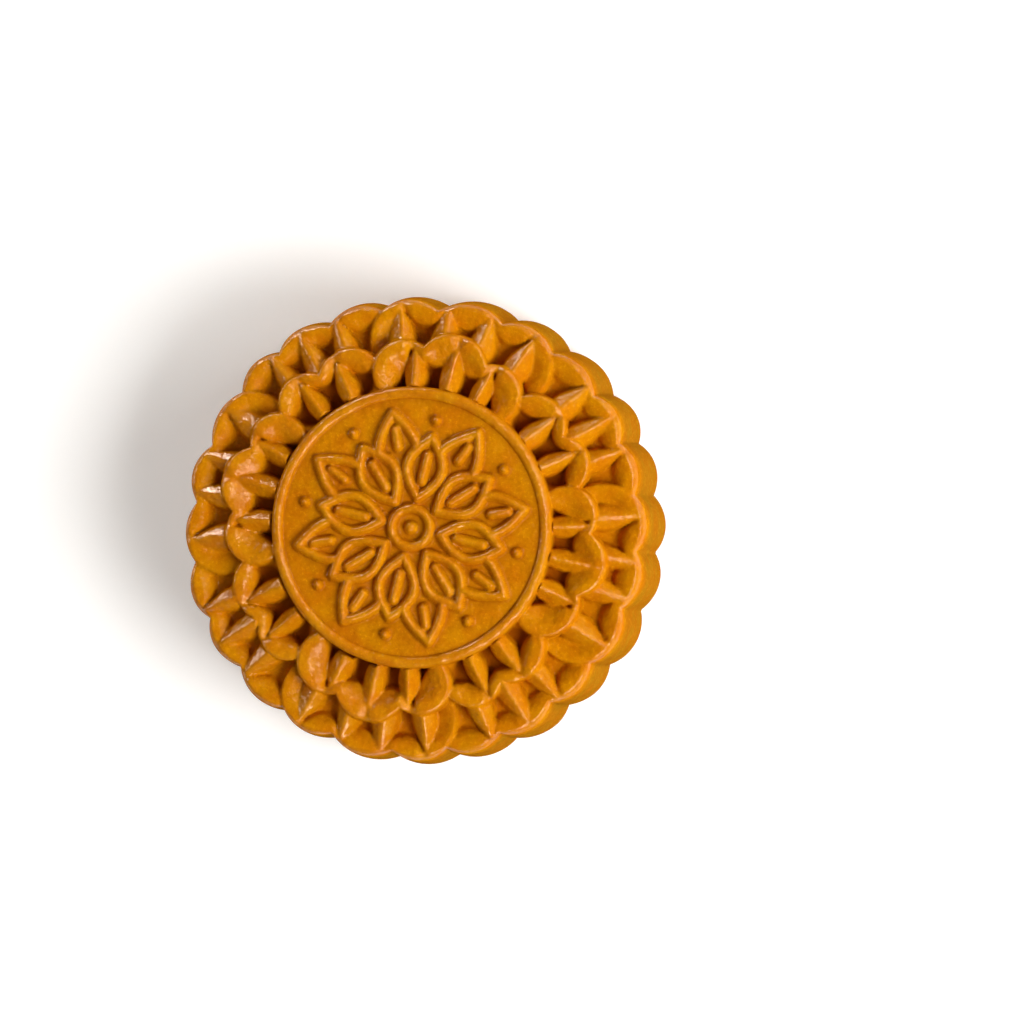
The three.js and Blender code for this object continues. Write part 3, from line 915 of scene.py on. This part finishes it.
# %% Gloss and relief
SPECULAR, COAT_ROUGHNESS = 0.0, 0.15
ROUGHNESS_RANGE, WASH_RANGE = (0.3, 0.7, 0.42, 0.6), (0.38, 0.58, 0.25, 1.0)
DENTS = dict(scale=330, detail=2, roughness=0.5)
DENT_DEPTH, PEEL_DEPTH, WASH_DEPTH = 0.00052, 0.00018, 0.00009


def own_noise(scale, detail, roughness):
    """A noise on the object's coordinates that only this material uses."""
    place = nodes.new("ShaderNodeTexCoord")
    node = nodes.new("ShaderNodeTexNoise")
    feed(node.inputs["Vector"], place.outputs["Object"])
    feed(node.inputs["Scale"], scale)
    feed(node.inputs["Detail"], detail)
    feed(node.inputs["Roughness"], roughness)
    return node.outputs["Fac"]


dents = bumped(own_noise(**DENTS), DENT_DEPTH)
feed(shader.inputs["Normal"], bumped(texture.outputs["Height"], PEEL_DEPTH, dents))
feed(shader.inputs["Coat Normal"], bumped(own_noise(**PEEL), WASH_DEPTH, dents))
feed(shader.inputs["Roughness"], between(specks, *ROUGHNESS_RANGE))
feed(shader.inputs["Coat Weight"], product(mask("glaze"), between(specks, *WASH_RANGE)))
shader.inputs["Specular IOR Level"].default_value = SPECULAR
shader.inputs["Coat Roughness"].default_value = COAT_ROUGHNESS
cake.data.materials.append(crust)
print("crust nodes:", len(nodes))

# %% [markdown]
# ## Table
#
# The cake lies on a plain pale table. It glows a little, as a lit table-top in a light tent does, so that it stays
# near white next to the cake.

# %% Floor
FLOOR_SIZE = 3
FLOOR_COLOUR, FLOOR_ROUGHNESS = (0.86, 0.85, 0.83, 1), 0.7
FLOOR_GLOW, FLOOR_GLOW_STRENGTH = (1, 0.99, 0.97, 1), 0.25
floor_material = bpy.data.materials.new("Pale table")
floor_material.use_nodes = True
table_shader = floor_material.node_tree.nodes["Principled BSDF"]
table_shader.inputs["Base Color"].default_value = FLOOR_COLOUR
table_shader.inputs["Roughness"].default_value = FLOOR_ROUGHNESS
table_shader.inputs["Emission Color"].default_value = FLOOR_GLOW
table_shader.inputs["Emission Strength"].default_value = FLOOR_GLOW_STRENGTH
bpy.ops.mesh.primitive_plane_add(size=FLOOR_SIZE)
floor = bpy.context.object
floor.name = "floor"
floor.data.materials.append(floor_material)
print("floor of", floor.dimensions.x, "m")

# %% [markdown]
# ## Camera
#
# The camera looks almost straight down. In the picture the side of the cake shows only along the upper right, which
# means that the camera stands a few degrees off the axis on that side. Its lens follows from its distance and from
# how many pixels a millimetre takes on the disc.

# %% Place of the camera
PICTURE = 1024
SENSOR = 36.0
PIXELS_PER_MM = 6.2
CAMERA_DISTANCE = 0.600
CAMERA_AZIMUTH = 11.5
CAMERA_TILT = 7.0

disc_middle = Vector((-box_middle[0], -box_middle[1], FIELD_TOP + BEAD_RISE)) * MM
lean = math.radians(CAMERA_TILT)
side_on = math.radians(CAMERA_AZIMUTH)
back = Vector((math.sin(lean) * math.cos(side_on), math.sin(lean) * math.sin(side_on), math.cos(lean)))
focal_pixels = PIXELS_PER_MM * CAMERA_DISTANCE / MM
print("the camera is", CAMERA_DISTANCE, "m from the disc, and its lens is", round(focal_pixels), "pixels long")

# %% [markdown]
# The middle of the disc is off the middle of the picture. So the camera is first faced to the disc, with the cake
# turned as in the picture, and then swung until the disc lands on its place.

# %% Camera
DISC_PIXEL = (410.5, 527.5)
PICTURE_UP = 103.5
CLIP_START = 0.01

up_hint = Vector((math.cos(math.radians(PICTURE_UP)), math.sin(math.radians(PICTURE_UP)), 0))
right = up_hint.cross(back).normalized()
up = back.cross(right)
facing = Matrix((right, up, back)).transposed()
swing = math.atan((DISC_PIXEL[0] - PICTURE / 2) / focal_pixels)
nod = math.atan((DISC_PIXEL[1] - PICTURE / 2) / focal_pixels)
aim = Matrix.Rotation(swing, 3, "Y") @ Matrix.Rotation(nod, 3, "X")

camera = bpy.data.objects.new("camera", bpy.data.cameras.new("camera"))
camera.data.sensor_width = SENSOR
camera.data.lens = SENSOR * focal_pixels / PICTURE
camera.data.clip_start = CLIP_START
camera.matrix_world = Matrix.Translation(disc_middle + back * CAMERA_DISTANCE) @ (facing @ aim).to_4x4()
bpy.context.scene.collection.objects.link(camera)
bpy.context.scene.camera = camera
print("lens in mm:", round(camera.data.lens, 1))


# %% [markdown]
# ## Light
#
# The photograph's light comes from the right, and weak daylight from two windows brightens the upper flanks. Diffuse
# dough and clear glaze see different things in a room: the dough sums up all light, while the glaze mirrors single
# bright shapes. So each is lit by its own lamps. One set has no reflection, and the other is seen only in the glaze.

# %% Lamps
LIGHT_DISTANCE = 0.9
WHITE, WARM = (1, 1, 1), (1, 0.8, 0.66)


def soft_light(name, bearing, elevation, size, power, color, glaze_only):
    """A lamp of a width and height that faces the cake. Its bearing is turned clockwise from the top of the picture.
    It is either left out of the reflections, or seen only in them."""
    lamp = bpy.data.lights.new(name, "AREA")
    lamp.shape = "RECTANGLE"
    lamp.size, lamp.size_y = size
    lamp.energy = power
    lamp.color = color
    light = bpy.data.objects.new(name, lamp)
    turn, rise = math.radians(PICTURE_UP - bearing), math.radians(elevation)
    away = Vector((math.cos(turn) * math.cos(rise), math.sin(turn) * math.cos(rise), math.sin(rise)))
    light.location = disc_middle + away * LIGHT_DISTANCE
    light.visible_glossy = glaze_only
    light.visible_diffuse = not glaze_only
    light.rotation_euler = (-away).to_track_quat("-Z", "Y").to_euler()
    bpy.context.scene.collection.objects.link(light)
    print(f"{name}: bearing {bearing}, elevation {elevation}, {power} W")


soft_light("key", bearing=115, elevation=45, size=(0.5, 0.5), power=11, color=WHITE, glaze_only=False)
soft_light("fill", bearing=230, elevation=50, size=(0.8, 0.8), power=1.2, color=WHITE, glaze_only=False)
soft_light("window", bearing=325, elevation=14, size=(0.35, 0.35), power=3, color=WHITE, glaze_only=False)
soft_light("side window", bearing=65, elevation=14, size=(0.35, 0.35), power=4, color=WHITE, glaze_only=False)

# %% [markdown]
# A flank that leans by half the angle between the camera and a lamp mirrors that lamp. Low lamps light up the steep
# flanks of the spikes, and the higher ones on the right the rounded crests and rims.

# %% Lamps in the glaze
soft_light("glaze window", bearing=333, elevation=9, size=(0.55, 0.26), power=16, color=WARM, glaze_only=True)
soft_light("glaze left", bearing=287, elevation=14, size=(0.35, 0.25), power=4.5, color=WARM, glaze_only=True)
soft_light("glaze right", bearing=58, elevation=32, size=(0.9, 0.2), power=5, color=WARM, glaze_only=True)
soft_light("glaze lamp", bearing=78, elevation=60, size=(0.3, 0.3), power=8, color=WARM, glaze_only=True)
soft_light("glaze low lamp", bearing=145, elevation=38, size=(0.5, 0.3), power=11, color=WARM, glaze_only=True)

# %% [markdown]
# The room itself adds a faint even light. The Standard view keeps the colours as they are mixed.

# %% Room
ROOM_COLOUR, ROOM_STRENGTH = (1, 0.98, 0.95, 1), 0.11
world = bpy.data.worlds.new("studio")
world.use_nodes = True
world.node_tree.nodes["Background"].inputs["Color"].default_value = ROOM_COLOUR
world.node_tree.nodes["Background"].inputs["Strength"].default_value = ROOM_STRENGTH
bpy.context.scene.world = world
bpy.context.scene.view_settings.view_transform = "Standard"
print("world strength:", ROOM_STRENGTH)
